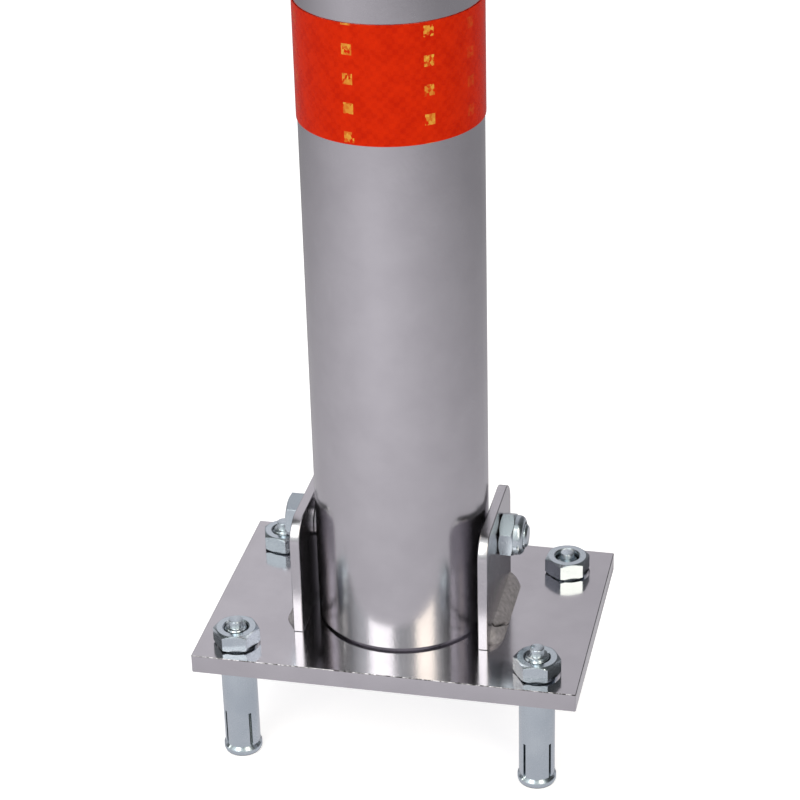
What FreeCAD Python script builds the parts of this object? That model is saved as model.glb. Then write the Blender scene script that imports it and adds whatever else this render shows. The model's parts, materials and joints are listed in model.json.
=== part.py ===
import FreeCAD, Part
import math
import os

# A fold-down, lockable parking bollard in stainless steel, in millimetres.
# The origin is on the post's axis, on the underside of the base plate. +Z is up,
# -Y is the front, and the post folds down towards +Y about a bolt that runs along X.

# Base plate. Its middle stands a little behind the post's axis and to the right of it.
plate_width = 160.0
plate_depth = 110.0
plate_thickness = 8.0
plate_set_right = 1.5
plate_set_back = 1.1
plate_corner = 0.6
plate_edge = 0.2

# Post tube
tube_diameter = 72.0
tube_wall = 2.0
post_length = 650.0
foot_gap = 1.3

# Hinge ears, one on each side of the post
ear_thickness = 4.0
ear_height = 51.5
ear_front = 28.7
ear_back = 26.0
ear_corner = 10.0
ear_edge = 0.3
ear_clearance = 1.1
weld_leg = 6.8
weld_short_front = 1.5
weld_reach_back = 1.0
weld_crown = 1.2

# Hinge: one bolt through both ears and a bush in the post
pivot_height = 37.0
pivot_back = 3.5
hinge_diameter = 10.0
hinge_play = 0.05
hole_play = 0.2
bush_diameter = 16.0
bush_side_play = 0.3
head_height = 6.4
bolt_end = 1.4
end_dome = 0.9
washer_diameter = 20.0
washer_thickness = 2.0
head_turn = 12.0
locknut_turn = 3.0

# Hexagon nuts and heads
hex_flats = 17.0
hex_face = 0.95
hex_chamfer = 30.0
thread_play = 0.05
bore_chamfer = 0.6
locknut_hex = 6.4
locknut_collar = 3.6
collar_diameter = 16.6
collar_round = 2.4
collar_root = 1.0
insert_diameter = 12.6
insert_thickness = 2.2
insert_lip = 0.6
lip_diameter = 11.6

# Sleeve anchors, one near each corner of the plate
anchor_edge_side = 17.0
anchor_edge_front = 12.5
anchor_edge_back = 18.5
anchor_hole = 18.0
anchor_drift_x = -0.9
anchor_drift_y = 0.8
stud_diameter = 10.0
stud_root = 8.2
stud_point = 5.8
stud_point_length = 3.4
stud_point_edge = 0.3
stud_taper = 0.9
sleeve_diameter = 14.8
sleeve_wall = 1.85
sleeve_depth = 40.4
slit_width = 1.2
slit_length = 16.5
cone_diameter = 16.0
cone_rise = 1.3
cone_band = 3.2
cone_edge = 1.3
nut_height = 7.7

thread_above_left_front = 0.1
thread_above_right_front = 1.0
thread_above_left_rear = 0.6
thread_above_right_rear = -1.9

# Each anchor's side along X and Y, the turn of its nut and of its slits, and how far
# its thread ends above its nut
anchors = {
    "left_front": (-1, -1, 8.0, 45.0, thread_above_left_front),
    "right_front": (1, -1, 5.0, 56.0, thread_above_right_front),
    "left_rear": (-1, 1, 46.0, 20.0, thread_above_left_rear),
    "right_rear": (1, 1, 21.5, 70.0, thread_above_right_rear),
}

# Top cap
cap_rise = 7.0
cap_rim = 1.5
cap_skirt = 14.0
cap_skirt_wall = 1.5
cap_play = 0.1

# Reflective band
band_low = 223.3
band_width = 47.2
band_thickness = 0.35
band_glue = 0.12

# Lock in the back of the post
lock_height = 115.0
boss_diameter = 29.0
boss_stand = 2.5
barrel_diameter = 18.0
flange_diameter = 20.4
flange_thickness = 2.0
fixed_play = 0.05
barrel_nut_flats = 24.0
barrel_nut_height = 4.0
barrel_nut_gap = 1.8
plug_diameter = 12.0
plug_play = 0.05
plug_collar = 14.4
plug_collar_length = 1.5
plug_recess = 0.3
key_slot_width = 1.6
key_slot_height = 7.5
key_slot_depth = 9.0
plug_tail = 6.0
lock_turn = 90.0

# Drive cam and its screw
cam_throw = 12.0
cam_thickness = 2.5
cam_hub = 6.5
cam_tip = 3.6
cam_gap = 0.6
pin_diameter = 4.0
pin_over = 0.3
screw_diameter = 4.0
screw_head = 6.8
screw_head_height = 2.2
screw_depth = 6.0
socket_flats = 2.5
socket_depth = 1.3

# Shoot bolt, its guides and its hole in the plate
rod_diameter = 8.0
rod_gap = 0.6
rod_lift = 9.0
rod_chamfer = 1.0
guide_play = 0.3
guide_thickness = 5.0
guide_margin = 0.6
yoke_thickness = 6.0
yoke_side = 2.0
yoke_half_height = 7.0
yoke_play = 0.5
yoke_end_play = 0.4
yoke_corner = 2.0
yoke_gap = 1.0

# Keyhole cover and its rivet
cover_thickness = 1.2
cover_radius = 9.6
cover_arm = 12.3
cover_ear = 4.0
cover_play = 0.15
cover_edge = 0.3
rivet_diameter = 2.6
rivet_hole_play = 0.2
rivet_head = 5.4
rivet_head_height = 1.2
rivet_rim = 0.4
rivet_crown = 3.8
rivet_depth = 5.0

# How far a cut runs past the face it starts from
cut_past = 1.0

# Places that follow from the sizes above
plate_left = plate_set_right - plate_width / 2
plate_right = plate_set_right + plate_width / 2
plate_front = plate_set_back - plate_depth / 2
plate_back = plate_set_back + plate_depth / 2
tube_radius = tube_diameter / 2
tube_bore = tube_radius - tube_wall
foot_z = plate_thickness + foot_gap
top_z = plate_thickness + post_length
pivot_z = plate_thickness + pivot_height
relief_radius = pivot_height - foot_gap
ear_inner = tube_radius + ear_clearance
ear_outer = ear_inner + ear_thickness
bush_half = ear_inner - bush_side_play
hinge_radius = hinge_diameter / 2
locknut_length = locknut_hex + locknut_collar
lock_z = plate_thickness + lock_height
boss_face = tube_radius + boss_stand
half_turn = math.radians(lock_turn / 2)
pin_near = cam_throw * math.cos(half_turn)
rod_travel = 2 * cam_throw * math.sin(half_turn)
rod_x = (pin_near + cam_throw) / 2
rod_y = pivot_back + bush_diameter / 2 + rod_gap + rod_diameter / 2
rod_tip_z = plate_thickness + rod_lift
rod_hole = rod_diameter / 2 + guide_play
yoke_z = lock_z + rod_travel / 2
yoke_bottom = yoke_z - yoke_half_height
cam_inner = rod_y + yoke_thickness / 2 + cam_gap
cam_outer = cam_inner + cam_thickness
barrel_inner = cam_outer + fixed_play
boss_inner = cam_outer + barrel_nut_gap + barrel_nut_height
guide_low_z = pivot_z - math.sqrt(relief_radius**2 - (tube_bore - pivot_back) ** 2) + guide_margin
guide_high_z = yoke_bottom - rod_travel - yoke_gap - guide_thickness
cover_inner = boss_face + cover_play
cover_outer = cover_inner + cover_thickness
rivet_z = lock_z + cover_arm

X = FreeCAD.Vector(1, 0, 0)
Y = FreeCAD.Vector(0, 1, 0)
Z = FreeCAD.Vector(0, 0, 1)


def at(x, y, z):
    return FreeCAD.Vector(x, y, z)


def rod(diameter, start, end):
    """A round bar from one point to another."""
    way = end - start
    return Part.makeCylinder(diameter / 2, way.Length, start, way)


def block(x, y, z):
    """A box from its low and high limit on each axis."""
    corner = at(x[0], y[0], z[0])
    return Part.makeBox(x[1] - x[0], y[1] - y[0], z[1] - z[0], corner)


def turned(points, base, axis):
    """A solid turned from (radius, height) points, standing on base along axis."""
    corners = [at(radius, 0, height) for radius, height in points]
    outline = Part.makePolygon(corners + corners[:1])
    solid = Part.Face(outline).revolve(at(0, 0, 0), Z, 360)
    turn = FreeCAD.Rotation(Z, axis)
    solid.Placement = FreeCAD.Placement(base, turn)
    return solid


def edges_along(shape, axis, wanted):
    """The straight edges along an axis whose middle passes a test."""
    found = []
    for edge in shape.Edges:
        if not isinstance(edge.Curve, Part.Line):
            continue
        if abs(edge.tangentAt(edge.FirstParameter).dot(axis)) < 0.999:
            continue
        if wanted(edge.CenterOfMass):
            found.append(edge)
    return found


def face_edges(shape, axis, place):
    """The edges that lie in the plane at a place along an axis."""
    found = []
    for edge in shape.Edges:
        heights = [point.dot(axis) for point in edge.discretize(5)]
        if max(abs(height - place) for height in heights) < 1e-6:
            found.append(edge)
    return found


def hexagon(flats, height, base, axis, spin=0.0, both=True):
    """A hexagon bar with chamfered corners, standing on base along axis."""
    corner = flats / math.sqrt(3)
    points = []
    for step in range(7):
        angle = math.radians(60 * step + spin)
        points.append(at(corner * math.cos(angle), corner * math.sin(angle), 0))
    bar = Part.Face(Part.makePolygon(points)).extrude(Z * height)
    turn = FreeCAD.Rotation(Z, axis)
    bar.Placement = FreeCAD.Placement(base, turn)
    face = flats / 2 * hex_face
    drop = (corner - face) * math.tan(math.radians(hex_chamfer))
    low = [(0, 0), (face, 0), (corner, drop)] if both else [(0, 0), (corner, 0)]
    limits = turned(low + [(corner, height - drop), (face, height), (0, height)], base, axis)
    return bar.common(limits)


def bore(solid, radius, height, base, axis, chamfer):
    """Cut a hole right through a solid, with a chamfer at both mouths."""
    points = [(0, 0), (radius + chamfer, 0), (radius, chamfer)]
    points += [(radius, height - chamfer), (radius + chamfer, height), (0, height)]
    return solid.cut(turned(points, base, axis))


def relief():
    """What the post loses below its hinge, so that its heel swings clear of the plate."""
    reach = tube_diameter
    heel = block((-reach, reach), (pivot_back, reach), (0, pivot_z))
    middle = rod(2 * relief_radius, at(-reach, pivot_back, pivot_z), at(reach, pivot_back, pivot_z))
    return heel.cut(middle)


def hole_centre(side_x, side_y):
    """The centre of an anchor's hole in the plate, on the underside."""
    x = plate_left + anchor_edge_side if side_x < 0 else plate_right - anchor_edge_side
    y = plate_front + anchor_edge_front if side_y < 0 else plate_back - anchor_edge_back
    return at(x, y, 0)


def base_plate():
    plate = block((plate_left, plate_right), (plate_front, plate_back), (0, plate_thickness))
    plate = plate.makeFillet(plate_corner, edges_along(plate, Z, lambda middle: True))
    plate = plate.makeChamfer(plate_edge, face_edges(plate, Z, plate_thickness))
    for side_x, side_y, *_ in anchors.values():
        hole = hole_centre(side_x, side_y)
        plate = plate.cut(rod(anchor_hole, hole - Z * cut_past, hole + Z * (plate_thickness + cut_past)))
    socket = at(rod_x, rod_y, 0)
    return plate.cut(rod(2 * rod_hole, socket - Z * cut_past, socket + Z * (plate_thickness + cut_past)))


def hinge_ear(side):
    """A flat ear that stands on the plate, rounded at its two top corners."""
    x = sorted((side * ear_inner, side * ear_outer))
    ear = block(x, (-ear_front, ear_back), (plate_thickness, plate_thickness + ear_height))
    halfway = plate_thickness + ear_height / 2
    ear = ear.makeFillet(ear_corner, edges_along(ear, X, lambda middle: middle.z > halfway))
    foot = plate_thickness + ear_edge
    rims = [edge for face in x for edge in face_edges(ear, X, face) if edge.CenterOfMass.z > foot]
    ear = ear.makeFillet(ear_edge, rims)
    inner_face = at(x[0], pivot_back, pivot_z)
    outer_face = at(x[1], pivot_back, pivot_z)
    hole = rod(hinge_diameter + 2 * hole_play, inner_face - X * cut_past, outer_face + X * cut_past)
    return ear.cut(hole)


def weld(side):
    """The weld along the outside of an ear's foot, with a domed bead and round ends."""
    toe = weld_leg / 2
    bulge = toe + weld_crown
    corner = at(side * ear_outer, 0, plate_thickness)
    wall = corner + Z * weld_leg
    floor = corner + X * side * weld_leg
    crown = corner + X * side * bulge + Z * bulge
    outline = Part.Wire(
        [
            Part.LineSegment(corner, floor).toShape(),
            Part.Arc(floor, crown, wall).toShape(),
            Part.LineSegment(wall, corner).toShape(),
        ]
    )
    start = -ear_front + weld_short_front
    end = ear_back + weld_reach_back
    section = Part.Face(outline)
    section.translate(Y * (start + weld_leg))
    bead = section.extrude(Y * (end - start - 2 * weld_leg))
    for y, turn in ((start + weld_leg, -side * 90), (end - weld_leg, side * 90)):
        tip = Part.Face(outline)
        tip.translate(Y * y)
        bead = bead.fuse(tip.revolve(corner + Y * y, Z, turn))
    return bead.removeSplitter()


def hinge_bolt():
    """A hexagon bolt through both ears and the post's bush, its head on the left."""
    head_base = at(-ear_outer - washer_thickness, pivot_back, pivot_z)
    head = hexagon(hex_flats, head_height, head_base, X * -1, head_turn, both=False)
    length = washer_thickness + 2 * ear_outer + locknut_length + bolt_end
    tip = hinge_radius - end_dome
    profile = [(0, 0), (hinge_radius, 0), (hinge_radius, length - end_dome), (tip, length), (0, length)]
    return head.fuse(turned(profile, head_base, X)).removeSplitter()


def hinge_washer():
    """The plain washer under the bolt's head."""
    ends = at(-ear_outer - washer_thickness, pivot_back, pivot_z), at(-ear_outer, pivot_back, pivot_z)
    return rod(washer_diameter, *ends).cut(rod(hinge_diameter + 2 * hole_play, *ends))


def hinge_locknut():
    """A self-locking nut: a hexagon with a round collar that holds the insert."""
    base = at(ear_outer, pivot_back, pivot_z)
    body = hexagon(hex_flats, locknut_hex, base, X, locknut_turn)
    collar = collar_diameter / 2
    root = locknut_hex - collar_root
    outline = [(0, root), (collar, root), (collar, locknut_length - collar_round)]
    for step in range(1, 5):
        angle = math.radians(22.5 * step)
        radius = collar - collar_round * (1 - math.cos(angle))
        outline.append((radius, locknut_length - collar_round * (1 - math.sin(angle))))
    outline.append((0, locknut_length))
    body = body.fuse(turned(outline, base, X)).removeSplitter()
    thread = hinge_radius + thread_play
    seat_top = locknut_length - insert_lip
    seat = [
        (0, 0),
        (thread + bore_chamfer, 0),
        (thread, bore_chamfer),
        (thread, seat_top - insert_thickness),
        (insert_diameter / 2, seat_top - insert_thickness),
        (insert_diameter / 2, seat_top),
        (lip_diameter / 2, locknut_length),
        (0, locknut_length),
    ]
    return body.cut(turned(seat, base, X))


def locknut_insert():
    """The ring in the collar that grips the bolt's thread."""
    ring = insert_diameter / 2 - fixed_play
    low = locknut_length - insert_lip - insert_thickness + fixed_play
    high = locknut_length - insert_lip - fixed_play
    grip = hinge_radius + thread_play
    profile = [(grip, low), (ring, low), (ring, high), (grip, high)]
    return turned(profile, at(ear_outer, pivot_back, pivot_z), X)


def anchor_sleeve(centre, turn):
    """The slit sleeve that hangs below the plate and spreads when its nut is turned."""
    outer = sleeve_diameter
    low = centre - Z * sleeve_depth
    high = centre + Z * plate_thickness
    sleeve = rod(outer, low, high)
    sleeve = sleeve.cut(rod(outer - 2 * sleeve_wall, low - Z * cut_past, high + Z * cut_past))
    half = slit_width / 2
    slit = block((-outer, outer), (-half, half), (-cut_past, slit_length))
    slit.translate(low)
    for quarter in (0, 90):
        cross = slit.copy()
        cross.rotate(low, Z, turn + quarter)
        sleeve = sleeve.cut(cross)
    return sleeve


def anchor_stud(centre, above):
    """The stud: a cone at its foot, a plain thread body and a smooth round point."""
    radius = stud_diameter / 2
    cone = cone_diameter / 2
    thread_top = plate_thickness + nut_height + above
    point_top = thread_top + stud_point_length
    shoulder = -sleeve_depth
    band = shoulder - cone_rise
    foot = band - cone_band
    bevel = cone_edge * (1 - math.sqrt(0.5))
    profile = [
        (0, foot),
        (cone - cone_edge, foot),
        (cone - bevel, foot + bevel),
        (cone, foot + cone_edge),
        (cone, band),
        (radius, shoulder),
        (radius, thread_top - stud_taper),
        (stud_root / 2, thread_top),
        (stud_point / 2, thread_top),
        (stud_point / 2, point_top - stud_point_edge),
        (stud_point / 2 - stud_point_edge, point_top),
        (0, point_top),
    ]
    return turned(profile, centre, Z)


def anchor_nut(centre, turn):
    base = centre + Z * plate_thickness
    nut = hexagon(hex_flats, nut_height, base, Z, turn)
    return bore(nut, stud_diameter / 2 + thread_play, nut_height, base, Z, bore_chamfer)


def post_tube():
    """The post, with holes for the hinge bush and the lock boss and a cut-back heel."""
    tube = rod(tube_diameter, at(0, 0, foot_z), at(0, 0, top_z))
    tube = tube.cut(rod(2 * tube_bore, at(0, 0, 0), at(0, 0, top_z + cut_past)))
    pivot = at(0, pivot_back, pivot_z)
    tube = tube.cut(rod(bush_diameter, pivot - X * tube_diameter, pivot + X * tube_diameter))
    tube = tube.cut(rod(boss_diameter, at(0, 0, lock_z), at(0, tube_diameter, lock_z)))
    return tube.cut(relief())


def pivot_bush():
    """The bush that carries the post on the hinge bolt."""
    ends = at(-bush_half, pivot_back, pivot_z), at(bush_half, pivot_back, pivot_z)
    bush = rod(bush_diameter, *ends)
    return bush.cut(rod(hinge_diameter + 2 * hinge_play, *ends))


def top_cap():
    """A shallow domed cap with a skirt inside the tube."""
    rim = tube_radius
    dome = (rim**2 + cap_rise**2) / (2 * cap_rise)
    crest = cap_rim + cap_rise
    edge = at(rim, 0, cap_rim)
    along = at(dome * math.sin(0.5 * math.asin(rim / dome)), 0, 0)
    along.z = crest - dome + math.sqrt(dome**2 - along.x**2)
    skirt = tube_bore - cap_play
    inside = skirt - cap_skirt_wall
    corners = [
        at(0, 0, crest),
        at(0, 0, -cap_rim),
        at(inside, 0, -cap_rim),
        at(inside, 0, -cap_skirt),
        at(skirt, 0, -cap_skirt),
        at(skirt, 0, 0),
        at(rim, 0, 0),
        edge,
    ]
    sides = [Part.LineSegment(a, b).toShape() for a, b in zip(corners, corners[1:])]
    sides.append(Part.Arc(edge, along, corners[0]).toShape())
    cap = Part.Face(Part.Wire(sides)).revolve(at(0, 0, 0), Z, 360)
    cap.translate(Z * top_z)
    return cap


def reflective_band():
    """The reflective sheet wrapped once round the post."""
    inner = tube_radius + band_glue
    low = at(0, 0, plate_thickness + band_low)
    high = low + Z * band_width
    return rod(2 * (inner + band_thickness), low, high).cut(rod(2 * inner, low, high))


def lock_boss():
    """The welded boss that gives the lock a flat face on the round post."""
    inner = at(0, boss_inner, lock_z)
    face = at(0, boss_face, lock_z)
    boss = rod(boss_diameter, inner, face)
    boss = boss.cut(rod(barrel_diameter + 2 * fixed_play, inner, face))
    boss = boss.cut(rod(flange_diameter + 2 * fixed_play, face - Y * (flange_thickness + fixed_play), face))
    rivet = at(0, boss_face, rivet_z)
    return boss.cut(rod(rivet_diameter + 2 * fixed_play, rivet - Y * (rivet_depth + fixed_play), rivet))


def lock_barrel():
    """The lock's housing, bored for the plug."""
    inner = at(0, barrel_inner, lock_z)
    face = at(0, boss_face, lock_z)
    barrel = rod(barrel_diameter, inner, face).fuse(rod(flange_diameter, face - Y * flange_thickness, face))
    barrel = barrel.cut(rod(plug_diameter + 2 * plug_play, inner, face))
    seat = plug_recess + plug_collar_length + plug_play
    return barrel.cut(rod(plug_collar + 2 * plug_play, face - Y * seat, face)).removeSplitter()


def barrel_nut():
    base = at(0, boss_inner, lock_z)
    nut = hexagon(barrel_nut_flats, barrel_nut_height, base, Y * -1)
    return bore(nut, barrel_diameter / 2 + fixed_play, barrel_nut_height, base, Y * -1, bore_chamfer)


def lock_plug():
    """The turning core: a key slot in front and a square tail for the cam behind."""
    face = at(0, boss_face - plug_recess, lock_z)
    back = at(0, cam_outer, lock_z)
    plug = rod(plug_diameter, back, face).fuse(rod(plug_collar, face - Y * plug_collar_length, face))
    half = plug_tail / 2
    tail = block((-half, half), (cam_inner, cam_outer), (lock_z - half, lock_z + half))
    plug = plug.fuse(tail).removeSplitter()
    width = key_slot_width / 2
    height = key_slot_height / 2
    depth = (face.y - key_slot_depth, face.y + cut_past)
    plug = plug.cut(block((-width, width), depth, (lock_z - height, lock_z + height)))
    start = at(0, cam_inner - cut_past, lock_z)
    return plug.cut(rod(screw_diameter + 2 * thread_play, start, at(0, cam_inner + screw_depth, lock_z)))


def drive_cam():
    """The arm on the plug's tail, with the pin that drives the shoot bolt."""
    centre = at(0, cam_inner, lock_z)
    pin = centre + X * pin_near + Z * (cam_throw * math.sin(half_turn))
    hub = rod(2 * cam_hub, centre, centre + Y * cam_thickness)
    tip = rod(2 * cam_tip, pin, pin + Y * cam_thickness)
    web = block((0, cam_throw), (cam_inner, cam_outer), (lock_z - cam_tip, lock_z + cam_tip))
    web.rotate(centre, Y, -lock_turn / 2)
    arm = hub.fuse([tip, web]).removeSplitter()
    half = plug_tail / 2 + fixed_play
    through = (cam_inner - cut_past, cam_outer + cut_past)
    square = block((-half, half), through, (lock_z - half, lock_z + half))
    length = cam_gap + yoke_thickness + pin_over
    return arm.cut(square).fuse(rod(pin_diameter, pin - Y * length, pin)).removeSplitter()


def cam_screw():
    """The socket screw that holds the cam on the plug's tail."""
    seat = at(0, cam_inner - fixed_play, lock_z)
    head = rod(screw_head, seat - Y * screw_head_height, seat)
    shank = rod(screw_diameter, seat, at(0, cam_inner + screw_depth - fixed_play, lock_z))
    socket = hexagon(socket_flats, socket_depth, seat - Y * screw_head_height, Y, both=False)
    return head.fuse(shank).cut(socket)


def shoot_bolt():
    """The bolt that drops into the plate, with a cross slot at its top for the cam's pin."""
    foot = at(rod_x, rod_y, rod_tip_z)
    bar = rod(rod_diameter, foot, at(rod_x, rod_y, yoke_bottom))
    bar = bar.makeChamfer(rod_chamfer, face_edges(bar, Z, rod_tip_z))
    pin = pin_diameter / 2
    slot_low = pin_near - pin - yoke_end_play
    slot_high = cam_throw + pin + yoke_end_play
    y = (rod_y - yoke_thickness / 2, rod_y + yoke_thickness / 2)
    head = block((slot_low - yoke_side, slot_high + yoke_side), y, (yoke_bottom, yoke_z + yoke_half_height))
    head = head.makeFillet(yoke_corner, edges_along(head, Y, lambda middle: middle.z > yoke_z))
    half = pin + yoke_play
    slot = block((slot_low, slot_high), (y[0] - cut_past, y[1] + cut_past), (yoke_z - half, yoke_z + half))
    return bar.fuse(head.cut(slot)).removeSplitter()


def bolt_guide(low):
    """A plate welded across the inside of the post, bored for the shoot bolt."""
    guide = rod(2 * tube_bore, at(0, 0, low), at(0, 0, low + guide_thickness))
    hole = at(rod_x, rod_y, low)
    return guide.cut(rod(2 * rod_hole, hole - Z * cut_past, hole + Z * (guide_thickness + cut_past)))


def keyhole_cover():
    """A swinging leaf that hangs over the keyhole from its rivet."""
    disc = rod(2 * cover_radius, at(0, cover_inner, lock_z), at(0, cover_outer, lock_z))
    ear = rod(2 * cover_ear, at(0, cover_inner, rivet_z), at(0, cover_outer, rivet_z))
    neck = block((-cover_ear, cover_ear), (cover_inner, cover_outer), (lock_z, rivet_z))
    leaf = disc.fuse([ear, neck]).removeSplitter()
    leaf = leaf.makeChamfer(cover_edge, face_edges(leaf, Y, cover_outer))
    inner_face = at(0, cover_inner, rivet_z)
    outer_face = at(0, cover_outer, rivet_z)
    hole = rod(rivet_diameter + 2 * rivet_hole_play, inner_face - Y * cut_past, outer_face + Y * cut_past)
    return leaf.cut(hole)


def cover_rivet():
    """The rivet that the cover swings on."""
    head_low = cover_outer + cover_play - boss_face
    crown = head_low + rivet_head_height
    shank = rivet_diameter / 2
    head = rivet_head / 2
    profile = [
        (0, -rivet_depth),
        (shank, -rivet_depth),
        (shank, head_low),
        (head, head_low),
        (head, head_low + rivet_rim),
        (rivet_crown / 2, crown),
        (0, crown),
    ]
    return turned(profile, at(0, boss_face, rivet_z), Y)


def pieces():
    """Every piece of the bollard, by the name of its node."""
    found = {
        "base_plate": base_plate(),
        "ear_left": hinge_ear(-1),
        "ear_right": hinge_ear(1),
        "weld_left": weld(-1),
        "weld_right": weld(1),
        "hinge_bolt": hinge_bolt(),
        "hinge_washer": hinge_washer(),
        "hinge_locknut": hinge_locknut(),
        "locknut_insert": locknut_insert(),
        "post_tube": post_tube(),
        "pivot_bush": pivot_bush(),
        "top_cap": top_cap(),
        "reflective_band": reflective_band(),
        "lock_boss": lock_boss(),
        "lock_barrel": lock_barrel(),
        "barrel_nut": barrel_nut(),
        "bolt_guide_low": bolt_guide(guide_low_z),
        "bolt_guide_high": bolt_guide(guide_high_z),
        "cover_rivet": cover_rivet(),
        "lock_plug": lock_plug(),
        "drive_cam": drive_cam(),
        "cam_screw": cam_screw(),
        "shoot_bolt": shoot_bolt(),
        "keyhole_cover": keyhole_cover(),
    }
    for name, (side_x, side_y, nut_turn, slit_turn, above) in anchors.items():
        centre = hole_centre(side_x, side_y) + at(anchor_drift_x, anchor_drift_y, 0)
        found["anchor_sleeve_" + name] = anchor_sleeve(centre, slit_turn)
        found["anchor_stud_" + name] = anchor_stud(centre, above)
        found["anchor_nut_" + name] = anchor_nut(centre, nut_turn)
    return found


os.makedirs("parts", exist_ok=True)
for node, shape in pieces().items():
    shape.exportStep("parts/" + node + ".step")
    box = shape.BoundBox
    print(node, len(shape.Solids), "solid", shape.isValid(), round(shape.Volume, 1), "mm3", box)
print("lock turn moves the bolt", round(rod_travel, 4), "mm at", round(rod_x, 4), round(rod_y, 4))
print("pivot", pivot_back, pivot_z, "lock", lock_z, "rivet", rivet_z)
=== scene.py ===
import json
import math

import bmesh
import bpy
from mathutils import Matrix, Vector, noise

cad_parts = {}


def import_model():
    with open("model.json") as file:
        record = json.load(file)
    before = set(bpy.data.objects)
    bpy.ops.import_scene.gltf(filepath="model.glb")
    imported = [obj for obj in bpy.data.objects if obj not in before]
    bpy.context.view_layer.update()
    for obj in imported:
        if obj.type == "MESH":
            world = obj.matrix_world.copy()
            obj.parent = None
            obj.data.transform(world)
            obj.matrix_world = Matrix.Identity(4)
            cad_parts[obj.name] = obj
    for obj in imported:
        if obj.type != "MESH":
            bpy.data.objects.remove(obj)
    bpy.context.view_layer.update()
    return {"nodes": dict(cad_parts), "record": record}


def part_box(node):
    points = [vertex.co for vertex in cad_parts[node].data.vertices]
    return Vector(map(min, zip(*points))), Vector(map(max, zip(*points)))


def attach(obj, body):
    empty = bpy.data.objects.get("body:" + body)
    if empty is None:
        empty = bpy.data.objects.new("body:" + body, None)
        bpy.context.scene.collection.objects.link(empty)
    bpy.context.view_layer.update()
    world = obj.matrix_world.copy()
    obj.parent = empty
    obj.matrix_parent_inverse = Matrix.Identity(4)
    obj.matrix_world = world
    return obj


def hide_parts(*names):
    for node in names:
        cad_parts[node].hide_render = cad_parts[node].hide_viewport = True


# The looks of a fold-down parking bollard in stainless steel. Lengths are in metres.
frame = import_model()

MM = 0.001
POST_RADIUS = 36.0 * MM
BAND_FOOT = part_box("reflective_band")[0].z
FLOOR_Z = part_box("anchor_stud_left_front")[0].z
PLATE_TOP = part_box("base_plate")[1].z
BODY_OF = {node: body for body, nodes in frame["record"]["behaviour"]["bodies"].items() for node in nodes}
SLOT_OF = {entry["node"]: entry["material_slot"] for entry in frame["record"]["subparts"]}
CORNERS = ("left_front", "right_front", "left_rear", "right_rear")
WHITE = (1, 1, 1, 1)

# Camera, fitted to the photograph's 800 x 800 frame
CAMERA_PLACE = Vector((202.64, -877.11, 585.94)) * MM
CAMERA_AZIMUTH = math.radians(12.985)
CAMERA_ELEVATION = math.radians(28.067)
CAMERA_ROLL = math.radians(-1.557)
FOCAL_PIXELS = 2515.06
FRAME_PIXELS = 800
SENSOR_MM = 36.0
CLIP_NEAR, CLIP_FAR = 0.01, 50.0

# The floor, and the pools of light that metal sees on it: each one's centre, its brightness and its loss in a metre
FLOOR_RADIUS = 6.0
FLOOR_SIDES = 64
FLOOR_TINT = (0.8, 0.8, 0.8, 1)
FLOOR_GLOW = 0.62
POOLS = (((-0.10, -0.45, 0.0), 0.83, 0.50), ((-0.80, -1.00, 0.0), 0.70, 0.26))
POOL_DARK = 0.32
POOL_TINT = (0.985, 0.96, 1.0)

# How bright the studio's walls are to metal, at each angle from the front towards +X, in degrees
WALLS = (
    (-180, 0.52), (-172, 0.62), (-163, 0.76), (-148, 0.60), (-121, 0.16), (-97, 0.06), (-88, 0.06), (-79, 0.22),
    (-70, 0.26), (-64, 0.48), (-58, 0.74), (-52, 0.92), (-45, 1.08), (-36, 1.06), (-5, 0.76), (8, 0.68),
    (20, 0.68), (28, 0.84), (54, 0.86), (60, 0.64), (64, 0.42), (68, 0.22), (74, 0.12), (82, 0.09), (90, 0.06),
    (103, 0.05), (120, 0.08), (154, 0.15), (167, 0.15), (176, 0.30), (180, 0.52),
)
WALL_TINT = (0.96, 1.0, 0.98)
# Further round than this, the walls take the tint of the pools
WALL_BEHIND = 130
SKY_TINT = (0.98, 0.98, 1.0, 1)
SKY_LEVEL = 0.55

# Soft boxes: azimuth from the front towards +X and elevation, in degrees, then width, height, radiance and colour
LAMPS = (
    ("front", -20, 40, 1.00, 2.00, 2.3, (1.0, 0.985, 0.93)),
    ("right", 39.5, 38, 0.74, 1.80, 2.35, (1.0, 0.90, 0.69)),
    ("left", -75, 13, 0.13, 1.10, 5.0, (1.0, 1.0, 0.90)),
)
LAMP_DISTANCE = 2.0
# The point that they all face
LAMP_AIM = Vector((0, 0, 0.1))

# Finishes: a darker and a lighter tint for each
STEEL = ((0.575, 0.56, 0.59, 1), (0.625, 0.61, 0.64, 1))
ZINC = ((0.56, 0.63, 0.69, 1), (0.66, 0.73, 0.78, 1))
WELD = ((0.38, 0.36, 0.375, 1), (0.61, 0.575, 0.60, 1))
CHROME = ((0.62, 0.62, 0.63, 1), (0.70, 0.70, 0.71, 1))
BRASS = ((0.60, 0.44, 0.20, 1), (0.70, 0.54, 0.28, 1))
NYLON = ((0.50, 0.49, 0.55, 1), (0.66, 0.64, 0.72, 1))
RED = ((0.54, 0.012, 0.0006, 1), (0.68, 0.022, 0.0010, 1))
# Painted glints on the prismatic sheet's squares: a darker and a lighter tint
GLINT_TINTS = ((0.62, 0.12, 0.012, 1), (0.78, 0.42, 0.06, 1))
# Single tints: the sheet's lattice, painted shade in crevices, the dark band along the crater and painted burr
# shadows in the plate's rim
RED_CELL = (0.76, 0.034, 0.0016, 1)
CREVICE_SHADE = (0.03, 0.03, 0.03, 1)
CRATER_DARK = (0.03, 0.026, 0.024, 1)
RIM_SHADE = (0.02, 0.018, 0.016, 1)
# The most of a metal that the painted crevice shade or the crater's dark band covers
BLACKEST = 0.92
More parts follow.
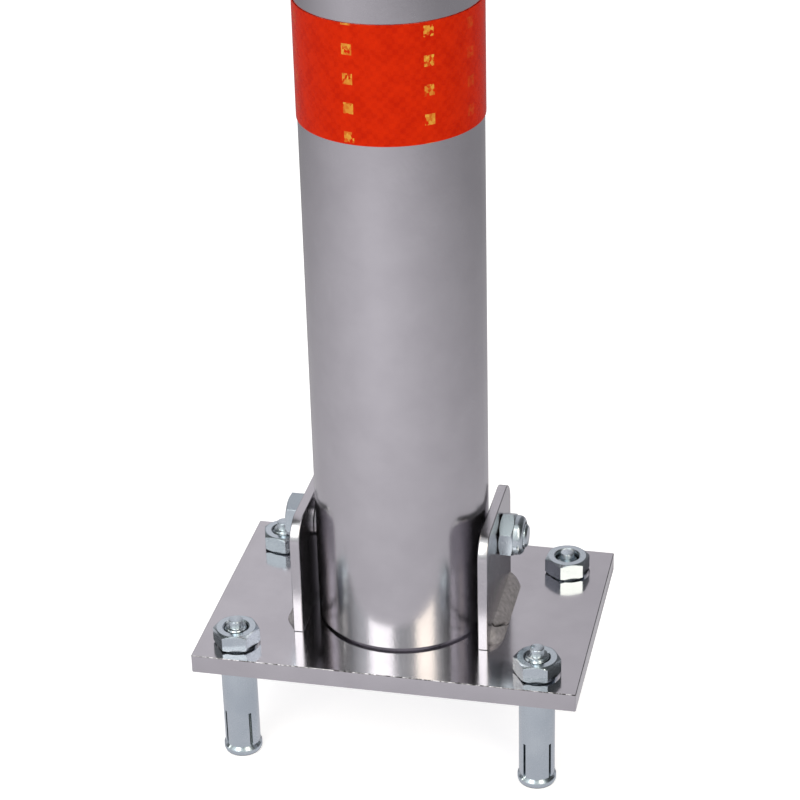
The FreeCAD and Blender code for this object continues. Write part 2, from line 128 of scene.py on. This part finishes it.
# The crater's dark band is full out to the first distance from its middle, and ends at the second
CRATER_DARK_FULL, CRATER_DARK_END = 0.9 * MM, 1.7 * MM
# How ragged the edge of the crater's dark band is
CRATER_DARK_RAGGED = 1.0 * MM

# Textures: a noise has so many waves for each metre, and most of its values lie in the middle range
MIDDLE = (0.3, 0.7)
SPECK_SCALE = 6000
SHINE_CLOUD = 0.35
RIPPLE_DEPTH = 0.025 * MM
WELD_METALLIC = 0.55
# Painted burr shadows in dashes along the top rim of the base plate: how far down the sides they reach, and how far
# below its top they stay
RIM_SHADE_DEPTH = 0.35 * MM
RIM_SHADE_TOP = 0.004 * MM

# The red prismatic sheet
BAND_SPECULAR = 0.05
SQUARE_WIDTH = 4.0 * MM
SQUARE_HEIGHT = 4.3 * MM
SQUARE_PITCH = 11.45 * MM
# The size of the shards that break up the painted glints
SHARD_SCALE = (950, 950, 800)
LATTICE_PITCH = 4.1 * MM
LATTICE_STRENGTH = 0.22
# Each column of squares with a painted glint: its angle from the front, the height of one square and its strength
GLINT_COLUMNS = (
    (-12.7, 234.2 * MM, 0.9), (36.2, 240.7 * MM, 1.0), (68.0, 239.2 * MM, 0.12), (117.0, 234.2 * MM, 0.8),
    (166.0, 240.7 * MM, 1.0), (-145.0, 234.2 * MM, 0.5), (-110.0, 240.7 * MM, 0.9), (-61.0, 239.2 * MM, 0.1),
)

# In degrees: edges bent by EASE_ANGLE or more are rounded off, and a face with an edge between the two is smooth
EASE_ANGLE = 26.0
FLAT_ANGLE = 0.6
DISSOLVE_ANGLE = 0.5
MERGE_DISTANCE = 0.001 * MM
NUT_EDGE = 0.22 * MM
SLEEVE_EDGE = 0.12 * MM
BOLT_EDGE = 0.2 * MM
WASHER_EDGE = 0.15 * MM
PLATE_EDGE = 0.06 * MM

# The hinge ears: their hole, rounded corners and rims, and the fine dark line between each and the plate
PIVOT_Y, PIVOT_Z = 3.5 * MM, 45.0 * MM
EAR_HOLE = 5.2 * MM
EAR_CORNER = 10.0 * MM
EAR_RIM = 0.4 * MM
EAR_RIM_EDGE = 0.1 * MM
EAR_SEAM = 0.25 * MM
# Faces larger than this are the flat sides
EAR_FLAT = 4.0 * MM ** 2

# The studs: a thread that fades in and out, a plain point above it and a cone at the foot
STUD_SIDES = 64
THREAD_RADIUS = 5.0 * MM
THREAD_PITCH = 1.5 * MM
THREAD_DEPTH = 0.8 * MM
THREAD_STEEP = 2.3
THREAD_BELOW_NUT = 3.0 * MM
THREAD_STEP = 0.1 * MM
# The thread grows to its full depth in so many steps, and fades out over this height
THREAD_FIRST_STEPS = 6
THREAD_FADE = 0.9 * MM
POINT_RADIUS = 2.9 * MM
POINT_LENGTH = 3.4 * MM
POINT_BEVEL = 0.25 * MM
POINT_ROUND = 0.3 * MM
POINT_ARC = 0.09 * MM
# The cone's outline: heights above its end, each with how far inside the cone's rim it lies
CONE = ((0.0, 1.3 * MM), (0.38 * MM, 0.38 * MM), (1.3 * MM, 0.0), (3.2 * MM, 0.0))
CONE_TOP = 4.5 * MM

# The weld beads, whose leg and reach are a share of their solids'
BEAD_STEP = 0.3 * MM
BEAD_SIDES = 28
BEAD_FRONT = 3.0 * MM
BEAD_LEG = 0.9
BEAD_NARROW = 0.82
# How far behind its corner the bead's round face is centred, as a share of its leg: the more, the flatter
BEAD_FLAT = 0.5
BEAD_END_RISE = 0.35
BEAD_CREASE = 60
SKIN_SCALE = 420
SKIN_NOISE = (0.9, 2.2, 3)
SKIN_LEVEL = 0.6
SKIN_DIG = 0.22 * MM
RIPPLE_PITCH = 1.5 * MM
RIPPLE_BOW = 1.6 * MM
RIPPLE_DIG = 0.06 * MM
# The right bead's crater, behind its front end
CRATER_PLACE = 6.4 * MM
CRATER_WIDTH = 0.9 * MM
CRATER_DIG = 2.6 * MM
# How far the crater bends back as it runs out from the ear, a millimetre for each square millimetre
CRATER_BEND = 0.28 / MM


def camera():
    """The camera at the photograph's place, aim and field of view."""
    data = bpy.data.cameras.new("camera")
    data.sensor_width = SENSOR_MM
    data.lens = FOCAL_PIXELS / FRAME_PIXELS * SENSOR_MM
    data.clip_start = CLIP_NEAR
    data.clip_end = CLIP_FAR
    level = math.cos(CAMERA_ELEVATION)
    back = Vector(
        (math.sin(CAMERA_AZIMUTH) * level, -math.cos(CAMERA_AZIMUTH) * level, math.sin(CAMERA_ELEVATION))
    )
    flat_right = Vector((0, 0, 1)).cross(back).normalized()
    flat_up = back.cross(flat_right)
    right = flat_right * math.cos(CAMERA_ROLL) + flat_up * math.sin(CAMERA_ROLL)
    up = back.cross(right)
    turn = Matrix((right, up, back)).transposed().to_4x4()
    eye = bpy.data.objects.new("camera", data)
    eye.matrix_world = Matrix.Translation(CAMERA_PLACE) @ turn
    bpy.context.scene.collection.objects.link(eye)
    bpy.context.scene.camera = eye


class Nodes:
    """Short ways to add and join the nodes of a material or world, which are cleared first."""

    def __init__(self, owner):
        owner.use_nodes = True
        self.owner = owner
        self.tree = owner.node_tree
        self.tree.nodes.clear()

    def add(self, kind, **values):
        """A new node, with each named value put in its socket or else set on the node."""
        node = self.tree.nodes.new(kind)
        for key, value in values.items():
            if key in node.inputs:
                self.put(node.inputs[key], value)
            else:
                setattr(node, key, value)
        return node

    def put(self, socket, value):
        """Join an output to a socket, or set the socket to a constant."""
        if isinstance(value, bpy.types.NodeSocket):
            self.tree.links.new(value, socket)
        else:
            socket.default_value = value

    def fill(self, node, values):
        """Put values in a node's first sockets, in order."""
        for socket, value in zip(node.inputs, values):
            self.put(socket, value)
        return node.outputs[0]

    def math(self, operation, first, second=0.0, third=0.0):
        return self.fill(self.add("ShaderNodeMath", operation=operation), (first, second, third))

    def span(self, value, low, high, out_low=0.0, out_high=1.0):
        """A value mapped from one range to another, clamped to the second."""
        return self.fill(self.add("ShaderNodeMapRange"), (value, low, high, out_low, out_high))

    def mix(self, share, first, second):
        """A colour between two."""
        node = self.add("ShaderNodeMix", data_type="RGBA")
        self.put(node.inputs[0], share)
        self.put(node.inputs[6], first)
        self.put(node.inputs[7], second)
        return node.outputs[2]

    def blend(self, share, first, second):
        """A shader between two."""
        return self.fill(self.add("ShaderNodeMixShader"), (share, first, second))

    def by_ray(self, plain, shiny, seen):
        """A shader for each kind of ray: plain ones, those off or through something shiny, and the camera's."""
        path = self.add("ShaderNodeLightPath")
        bounced = self.math("MAXIMUM", path.outputs["Is Glossy Ray"], path.outputs["Is Transmission Ray"])
        return self.blend(path.outputs["Is Camera Ray"], self.blend(bounced, plain, shiny), seen)

    def place(self):
        """The object's own coordinates, in metres."""
        return self.add("ShaderNodeTexCoord").outputs["Object"]

    def axes(self, vector):
        """A vector's X, Y and Z."""
        parts = self.add("ShaderNodeSeparateXYZ")
        self.put(parts.inputs[0], vector)
        return [parts.outputs[axis] for axis in "XYZ"]

    def azimuth(self, x, y):
        """The angle from the front towards +X, in radians."""
        return self.math("ARCTAN2", x, self.math("MULTIPLY", y, -1.0))

    def stretched(self, scale):
        """Object coordinates scaled along each axis, to stretch a noise."""
        node = self.add("ShaderNodeVectorMath", operation="MULTIPLY")
        return self.fill(node, (self.place(), scale))

    def noise(self, scale, detail=2.0, roughness=0.5):
        """A noise of the given scale along each axis, in waves for each metre."""
        node = self.add("ShaderNodeTexNoise", Detail=detail, Roughness=roughness, Scale=1.0)
        self.put(node.inputs["Vector"], self.stretched(scale))
        return node.outputs["Fac"]

    def bump(self, height, distance, under=None):
        """A normal from a height, over another normal where one is given."""
        node = self.add("ShaderNodeBump", Strength=1.0, Distance=distance, Height=height)
        if under is not None:
            self.put(node.inputs["Normal"], under)
        return node.outputs["Normal"]


def material(name):
    """The nodes and the main shader of a new material."""
    nodes = Nodes(bpy.data.materials.new(name))
    shader = nodes.add("ShaderNodeBsdfPrincipled")
    nodes.put(nodes.add("ShaderNodeOutputMaterial").inputs["Surface"], shader.outputs[0])
    return nodes, shader


def metal(name, tints, rough, grain, grain_depth, mottle=60.0, haze=0.2, crevice=0.0, ripple=None):
    """A bare or plated metal: a cloudy tint, a brushed grain, fine dull specks and painted shade in its crevices.

    rough is its range of roughness, and haze is what the specks add to it at most. grain, mottle and ripple are
    the waves of its brushing, its clouds and its coarser unevenness. crevice is how far the painted shade reaches
    from a corner.
    """
    nodes, shader = material(name)
    cloud = nodes.noise((mottle, mottle, mottle), 3.0)
    brush = nodes.noise(grain, 3.0, 0.65)
    shader.inputs["Metallic"].default_value = 1.0
    tint = nodes.mix(nodes.span(cloud, *MIDDLE), *tints)
    if crevice:
        # Painted shade: the colour turns dark where ambient occlusion finds a corner or crevice close by
        corner = nodes.add("ShaderNodeAmbientOcclusion", samples=8, Distance=crevice)
        tint = nodes.mix(nodes.span(corner.outputs["AO"], 0.15, 0.75, BLACKEST, 0.0), tint, CREVICE_SHADE)
    nodes.put(shader.inputs["Base Color"], tint)
    clouded = nodes.math("MULTIPLY", cloud, SHINE_CLOUD)
    shine = nodes.math("ADD", clouded, nodes.math("MULTIPLY", brush, 1 - SHINE_CLOUD))
    specks = nodes.span(nodes.noise((SPECK_SCALE, SPECK_SCALE, SPECK_SCALE), 1.0), 0.5, 0.75, 0.0, haze)
    nodes.put(shader.inputs["Roughness"], nodes.math("ADD", nodes.span(shine, 0.25, 0.75, *rough), specks))
    face = nodes.bump(brush, grain_depth)
    if ripple:
        face = nodes.bump(nodes.noise(ripple, 2.0), RIPPLE_DEPTH, face)
    nodes.put(shader.inputs["Normal"], face)
    return nodes, shader


def stain(nodes, shader, share, tint):
    """Lay another tint over a share of a material's colour."""
    under = shader.inputs["Base Color"].links[0].from_socket
    nodes.put(shader.inputs["Base Color"], nodes.mix(share, under, tint))


def plate_material():
    """Bright rolled steel, with painted burr shadows in dark dashes along the rim of the base plate's top."""
    nodes, shader = metal("plate_steel", STEEL, (0.10, 0.15), (150, 3200, 3200), 0.0008 * MM, haze=0.14)
    up = nodes.axes(nodes.place())[2]
    below = nodes.math("LESS_THAN", up, PLATE_TOP - RIM_SHADE_TOP)
    rim = nodes.math("MULTIPLY", nodes.math("GREATER_THAN", up, PLATE_TOP - RIM_SHADE_DEPTH), below)
    # Painted shade: dark dashes that stand for the shadows of the burr along the rim
    rim_shade = nodes.span(nodes.noise((420, 420, 60), 4.0, 0.8), 0.40, 0.58, 0.25, 1.0)
    stain(nodes, shader, nodes.math("MULTIPLY", rim, rim_shade), RIM_SHADE)
    return nodes, shader


def weld_material():
    """Dull weld metal, with painted shade in its crevices and a dark band along the crater of the right bead."""
    nodes, shader = metal(
        "weld_steel", WELD, (0.5, 0.6), (1500, 1500, 1500), 0.16 * MM, mottle=500.0, haze=0.1, crevice=2.4 * MM
    )
    shader.inputs["Metallic"].default_value = WELD_METALLIC
    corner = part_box("weld_right")[0]
    x, y, _ = nodes.axes(nodes.place())
    out = nodes.math("SUBTRACT", x, corner.x)
    bend = nodes.math("MULTIPLY", nodes.math("MULTIPLY", out, out), CRATER_BEND / BEAD_NARROW ** 2)
    past = nodes.math("SUBTRACT", y, corner.y + BEAD_FRONT + CRATER_PLACE)
    near = nodes.math("ABSOLUTE", nodes.math("SUBTRACT", past, bend))
    ragged = nodes.math("ADD", near, nodes.math("MULTIPLY", nodes.noise((900, 900, 900), 3.0), CRATER_DARK_RAGGED))
    # The crater of the right bead is darkened along its ragged line
    stain(nodes, shader, nodes.span(ragged, CRATER_DARK_FULL, CRATER_DARK_END, BLACKEST, 0.0), CRATER_DARK)
    return nodes, shader


def nylon_material():
    """Milky nylon."""
    nodes, shader = material("nylon")
    cloud = nodes.noise((500, 500, 500), 3.0)
    nodes.put(shader.inputs["Base Color"], nodes.mix(cloud, *NYLON))
    nodes.put(shader.inputs["Roughness"], nodes.span(cloud, *MIDDLE, 0.35, 0.5))
    return nodes, shader


def band_material():
    """Red prismatic sheet: a faint lattice of small squares, and columns of squares with painted glints, broken into
    shards.
    """
    nodes, shader = material("reflective_sheet")
    x, y, up = nodes.axes(nodes.place())
    turn = nodes.azimuth(x, y)

    def square(value, pitch, size, start):
        """1 where a value lies within a square that repeats at a pitch."""
        wrapped = nodes.math("WRAP", nodes.math("SUBTRACT", value, start), pitch / 2, -pitch / 2)
        return nodes.math("LESS_THAN", nodes.math("ABSOLUTE", wrapped), size / 2)

    # Painted glints: squares in columns at fixed angles round the post, coloured as if they catch the light
    glint = 0.0
    for angle, height, strength in GLINT_COLUMNS:
        across = square(turn, 2 * math.pi, SQUARE_WIDTH / POST_RADIUS, math.radians(angle))
        down = square(up, SQUARE_PITCH, SQUARE_HEIGHT, height)
        column = nodes.math("MULTIPLY", nodes.math("MULTIPLY", across, down), strength)
        glint = nodes.math("MAXIMUM", glint, column)
    shard = nodes.add("ShaderNodeTexVoronoi", Scale=1.0)
    nodes.put(shard.inputs["Vector"], nodes.stretched(SHARD_SCALE))
    chips = nodes.add("ShaderNodeSeparateColor")
    nodes.put(chips.inputs[0], shard.outputs["Color"])
    broken = nodes.span(chips.outputs[0], 0.10, 0.30)
    cell_along = square(turn, LATTICE_PITCH / POST_RADIUS, LATTICE_PITCH / POST_RADIUS / 2, 0.0)
    cell_up = square(up, LATTICE_PITCH, LATTICE_PITCH / 2, BAND_FOOT)
    lattice = nodes.math("COMPARE", cell_along, cell_up, 0.5)
    cloud = nodes.noise((170, 170, 170), 3.0, 0.6)
    red = nodes.mix(nodes.span(cloud, *MIDDLE), *RED)
    red = nodes.mix(nodes.math("MULTIPLY", lattice, LATTICE_STRENGTH), red, RED_CELL)
    # The colour of the painted glints
    glint_tint = nodes.mix(chips.outputs[1], *GLINT_TINTS)
    nodes.put(shader.inputs["Base Color"], nodes.mix(nodes.math("MULTIPLY", glint, broken), red, glint_tint))
    nodes.put(shader.inputs["Roughness"], nodes.span(cloud, *MIDDLE, 0.22, 0.34))
    shader.inputs["Specular IOR Level"].default_value = BAND_SPECULAR
    return nodes, shader


def materials():
    """Make every finish and give it to the CAD nodes of its slot."""
    finishes = {
        "plate_steel": plate_material(),
        "tube_steel": metal(
            "tube_steel", STEEL, (0.15, 0.21), (2600, 2600, 30), 0.0012 * MM, haze=0.09, ripple=(1000, 1000, 500)
        ),
        "ear_steel": metal("ear_steel", STEEL, (0.17, 0.25), (900, 900, 900), 0.012 * MM, haze=0.08),
        "weld_steel": weld_material(),
        # The zinc parts get painted shade in the crevices round their nuts, threads and sleeves
        "zinc_steel": metal("zinc_steel", ZINC, (0.14, 0.24), (1500, 1500, 300), 0.002 * MM, crevice=1.6 * MM),
        "lock_chrome": metal("lock_chrome", CHROME, (0.06, 0.12), (900, 900, 900), 0.001 * MM, haze=0.1),
        "lock_brass": metal("lock_brass", BRASS, (0.2, 0.3), (1500, 1500, 1500), 0.002 * MM),
        "nylon": nylon_material(),
        "reflective_sheet": band_material(),
    }
    for node, slot in SLOT_OF.items():
        part = frame["nodes"][node]
        part.data.materials.clear()
        part.data.materials.append(finishes[slot][0].owner)


def floor_material():
    """A pale floor: white to the camera, and to metal round pools of light that fade with distance."""
    nodes = Nodes(bpy.data.materials.new("floor"))
    lit = nodes.add("ShaderNodeBsdfDiffuse", Color=FLOOR_TINT).outputs[0]
    glow = nodes.add("ShaderNodeEmission", Color=WHITE, Strength=FLOOR_GLOW).outputs[0]
    seen = nodes.fill(nodes.add("ShaderNodeAddShader"), (lit, glow))
    where = nodes.add("ShaderNodeNewGeometry").outputs["Position"]
    level = POOL_DARK
    for centre, bright, fall in POOLS:
        apart = nodes.add("ShaderNodeVectorMath", operation="DISTANCE")
        nodes.fill(apart, (where, centre))
        cone = nodes.math("SUBTRACT", bright, nodes.math("MULTIPLY", apart.outputs["Value"], fall))
        level = nodes.math("MAXIMUM", level, cone)
    pool = nodes.add("ShaderNodeEmission", Color=POOL_TINT + (1,), Strength=level).outputs[0]
    nodes.put(nodes.add("ShaderNodeOutputMaterial").inputs["Surface"], nodes.by_ray(lit, pool, seen))
    return nodes.owner


def floor():
    """A wide flat floor under the anchors' feet."""
    bpy.ops.mesh.primitive_circle_add(
        vertices=FLOOR_SIDES, radius=FLOOR_RADIUS, fill_type="NGON", location=(0, 0, FLOOR_Z)
    )
    ground = bpy.context.object
    ground.name = "floor"
    ground.data.materials.append(floor_material())


def world():
    """A white studio to the camera, and one with lighter and darker walls to metal."""
    studio = bpy.data.worlds.new("studio")
    bpy.context.scene.world = studio
    nodes = Nodes(studio)
    x, y, _ = nodes.axes(nodes.add("ShaderNodeTexCoord").outputs["Generated"])
    around = nodes.add("ShaderNodeValToRGB")
    nodes.put(around.inputs[0], nodes.span(nodes.azimuth(x, y), -math.pi, math.pi))
    stops = around.color_ramp.elements
    while len(stops) < len(WALLS):
        stops.new(0.5)
    for stop, (angle, level) in zip(stops, WALLS):
        stop.position = (angle + 180) / 360
        stop.color = [level * tint for tint in (POOL_TINT if abs(angle) > WALL_BEHIND else WALL_TINT)] + [1]
    walls = nodes.add("ShaderNodeBackground", Color=around.outputs[0], Strength=1.0).outputs[0]
    soft = nodes.add("ShaderNodeBackground", Color=SKY_TINT, Strength=SKY_LEVEL).outputs[0]
    white = nodes.add("ShaderNodeBackground", Color=WHITE, Strength=1.0).outputs[0]
    nodes.put(nodes.add("ShaderNodeOutputWorld").inputs["Surface"], nodes.by_ray(soft, walls, white))


def lights():
    """The soft boxes, each turned to the post's foot."""
    for name, azimuth, elevation, wide, high, radiance, colour in LAMPS:
        light = bpy.data.lights.new(name, "AREA")
        light.shape = "RECTANGLE"
        light.size = wide
        light.size_y = high
        light.energy = radiance * math.pi * wide * high
        light.color = colour
        lamp = bpy.data.objects.new(name, light)
        turn, rise = math.radians(azimuth), math.radians(elevation)
        way = Vector((math.sin(turn) * math.cos(rise), -math.cos(turn) * math.cos(rise), math.sin(rise)))
        lamp.location = way * LAMP_DISTANCE + LAMP_AIM
        lamp.rotation_euler = way.to_track_quat("Z", "Y").to_euler()
        bpy.context.scene.collection.objects.link(lamp)


def shown(name, mesh, stands_for):
    """Add a mesh that stands for a CAD node: it rides the node's body and takes its finish."""
    mesh.name = name
    piece = bpy.data.objects.new(name, mesh)
    bpy.context.scene.collection.objects.link(piece)
    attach(piece, BODY_OF[stands_for])
    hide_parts(stands_for)
    if not mesh.materials:
        mesh.materials.append(None)
    mesh.materials[0] = frame["nodes"][stands_for].data.materials[0]


def eased(node, width):
    """A copy of a CAD node with flat faces, smooth curves and slightly rounded edges."""
    mesh = bpy.data.meshes.new(node)
    shell = bmesh.new()
    shell.from_mesh(frame["nodes"][node].data)
    bmesh.ops.remove_doubles(shell, verts=shell.verts, dist=MERGE_DISTANCE)
    bmesh.ops.dissolve_limit(
        shell, angle_limit=math.radians(DISSOLVE_ANGLE), verts=shell.verts, edges=shell.edges
    )
    shell.normal_update()
    bends = {edge: math.degrees(edge.calc_face_angle(0.0)) for edge in shell.edges}
    for face in shell.faces:
        face.smooth = any(FLAT_ANGLE < bends[edge] < EASE_ANGLE for edge in face.edges)
    corners = [edge for edge in shell.edges if bends[edge] >= EASE_ANGLE]
    eased_off = bmesh.ops.bevel(
        shell, geom=corners, offset=width, segments=3, profile=0.5, affect="EDGES", clamp_overlap=True
    )
    for face in eased_off["faces"]:
        face.smooth = True
    shell.to_mesh(mesh)
    shell.free()
    shown(node + "_eased", mesh, node)


def rings_mesh(name, rings, ends, crease=180, flat=math.inf):
    """A mesh from rings of points, each joined to the next; its ends are open, capped or joined to each other.

    Edges bent by more than the crease stay sharp, and faces larger than the flat area aren't smoothed.
    """
    shell = bmesh.new()
    rings = [[shell.verts.new(point) for point in ring] for ring in rings]
    followers = rings[1:] + (rings[:1] if ends == "joined" else [])
    for low, high in zip(rings, followers):
        for i in range(len(low)):
            j = (i + 1) % len(low)
            shell.faces.new((low[i], low[j], high[j], high[i]))
    if ends == "capped":
        shell.faces.new(tuple(reversed(rings[0])))
        shell.faces.new(tuple(rings[-1]))
    bmesh.ops.recalc_face_normals(shell, faces=shell.faces)
    for face in shell.faces:
        face.smooth = face.calc_area() < flat
    for edge in shell.edges:
        edge.smooth = edge.calc_face_angle(0.0) < math.radians(crease)
    mesh = bpy.data.meshes.new(name)
    shell.to_mesh(mesh)
    shell.free()
    return mesh


def stud(corner):
    """An anchor's stud with a real thread where its nut's mouth shows it."""
    node = "anchor_stud_" + corner
    low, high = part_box(node)
    middle = (low + high) / 2
    foot, top = low.z, high.z
    thread_top = top - POINT_LENGTH
    rim = (high.x - low.x) / 2
    # Each level: its height, its radius and how deep the thread cuts there, from 0 to 1
    levels = [(foot + height, rim - inside, 0.0) for height, inside in CONE]
    levels.append((foot + CONE_TOP, THREAD_RADIUS, 0.0))
    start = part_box("anchor_nut_" + corner)[1].z - THREAD_BELOW_NUT
    steps = int((thread_top - start) / THREAD_STEP)
    for step in range(steps + 1):
        z = start + (thread_top - start) * step / steps
        ending = min(1.0, (thread_top - z) / THREAD_FADE)
        levels.append((z, THREAD_RADIUS - (1 - ending) * THREAD_DEPTH, min(1.0, step / THREAD_FIRST_STEPS) * ending))
    for z, radius in (
        (thread_top, POINT_RADIUS + POINT_BEVEL), (thread_top + POINT_BEVEL, POINT_RADIUS),
        (top - POINT_ROUND, POINT_RADIUS), (top - POINT_ARC, POINT_RADIUS - POINT_ARC),
        (top, POINT_RADIUS - POINT_ROUND),
    ):
        levels.append((z, radius, 0.0))
    rings = []
    for z, radius, thread in levels:
        ring = []
        for side in range(STUD_SIDES):
            turn = 2 * math.pi * side / STUD_SIDES
            phase = (z / THREAD_PITCH - side / STUD_SIDES) % 1.0
            reach = radius - THREAD_DEPTH * thread * min(1.0, THREAD_STEEP * abs(phase - 0.5))
            ring.append((middle.x + reach * math.cos(turn), middle.y + reach * math.sin(turn), z))
        rings.append(ring)
    shown(node + "_threaded", rings_mesh(node, rings, "capped"), node)


def weld_bead(side, node):
    """A fillet weld with ripples and a rough skin, and on the right side a crater near its front end."""
    low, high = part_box(node)
    wall = low.x if side > 0 else high.x
    leg = BEAD_LEG * (high.z - low.z)
    start, end = low.y + BEAD_FRONT, high.y
    centre = -BEAD_FLAT * leg
    radius = math.hypot(leg - centre, centre)
    first = math.atan2(-centre, leg - centre)
    steps = int((end - start) / BEAD_STEP)
    rings = []
    for step in range(steps + 1):
        y = start + (end - start) * step / steps
        past = max(0.0, start + leg - y, y - end + leg)
        shrink = math.sqrt(max(0.0, 1 - (past / leg) ** 2))
        ring = []
        for i in range(BEAD_SIDES + 1):
            turn = first + (math.pi / 2 - 2 * first) * i / BEAD_SIDES
            reach = centre + radius * math.cos(turn)
            rise = centre + radius * math.sin(turn)
            bow = math.sin(math.pi * i / BEAD_SIDES)
            ripple = 0.5 + 0.5 * math.sin(2 * math.pi * (y + RIPPLE_BOW * bow) / RIPPLE_PITCH)
            rough = noise.fractal(Vector((reach, y, rise)) * SKIN_SCALE, *SKIN_NOISE)
            dig = (RIPPLE_DIG * ripple + SKIN_DIG * (rough + SKIN_LEVEL)) * min(1.0, 4 * bow)
            if side > 0:
                off = (y - start - CRATER_PLACE - CRATER_BEND * reach ** 2) / CRATER_WIDTH
                dig += math.exp(-(off ** 2)) * CRATER_DIG * bow
            reach = max(0.0, (reach - dig * math.cos(turn)) * shrink)
            rise = max(0.0, (rise - dig * math.sin(turn)) * (BEAD_END_RISE + (1 - BEAD_END_RISE) * shrink))
            ring.append((wall + side * reach * BEAD_NARROW, y, low.z + rise))
        ring.append((wall, y, low.z))
        rings.append(ring)
    shown(node + "_rippled", rings_mesh(node, rings, "open", crease=BEAD_CREASE), node)


def ear(node):
    """A hinge ear with smooth round corners and a slightly rounded rim, a little above the plate."""
    low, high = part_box(node)
    shoulder = high.z - EAR_CORNER
    around = [(low.y, low.z + EAR_SEAM), (high.y, low.z + EAR_SEAM)]
    for centre, start in ((high.y - EAR_CORNER, 0), (low.y + EAR_CORNER, 90)):
        for angle in range(start, start + 91, 5):
            turn = math.radians(angle)
            around.append((centre + EAR_CORNER * math.cos(turn), shoulder + EAR_CORNER * math.sin(turn)))

    def outline(x, inset):
        """The outline at one place across the ear, drawn in from its rim."""
        share = 1 - inset / EAR_CORNER
        ring = []
        for y, z in around:
            centre_y = min(max(y, low.y + EAR_CORNER), high.y - EAR_CORNER)
            centre_z = min(z, shoulder)
            ring.append((x, centre_y + (y - centre_y) * share, centre_z + (z - centre_z) * share))
        return ring

    def mouth(x):
        """The hole's edge, with a point for each one of the outline."""
        ring = []
        for y, z in around:
            turn = math.atan2(z - PIVOT_Z, y - PIVOT_Y)
            ring.append((x, PIVOT_Y + EAR_HOLE * math.cos(turn), PIVOT_Z + EAR_HOLE * math.sin(turn)))
        return ring

    rings = [mouth(low.x), outline(low.x, EAR_RIM + EAR_RIM_EDGE)]
    for face, inward, angles in ((low.x, 1, range(0, 91, 15)), (high.x, -1, range(90, -1, -15))):
        for angle in angles:
            bend = math.radians(angle)
            rings.append(outline(face + inward * EAR_RIM * (1 - math.cos(bend)), EAR_RIM * (1 - math.sin(bend))))
    rings += [outline(high.x, EAR_RIM + EAR_RIM_EDGE), mouth(high.x)]
    shown(node + "_rounded", rings_mesh(node, rings, "joined", flat=EAR_FLAT), node)


def pieces():
    """Everything that replaces a CAD node."""
    for corner in CORNERS:
        eased("anchor_nut_" + corner, NUT_EDGE)
        stud(corner)
        eased("anchor_sleeve_" + corner, SLEEVE_EDGE)
    eased("hinge_bolt", BOLT_EDGE)
    eased("hinge_locknut", NUT_EDGE)
    eased("hinge_washer", WASHER_EDGE)
    eased("base_plate", PLATE_EDGE)
    ear("ear_left")
    ear("ear_right")
    weld_bead(-1, "weld_left")
    weld_bead(1, "weld_right")


bpy.context.scene.view_settings.view_transform = "Standard"
camera()
world()
lights()
floor()
materials()
pieces()
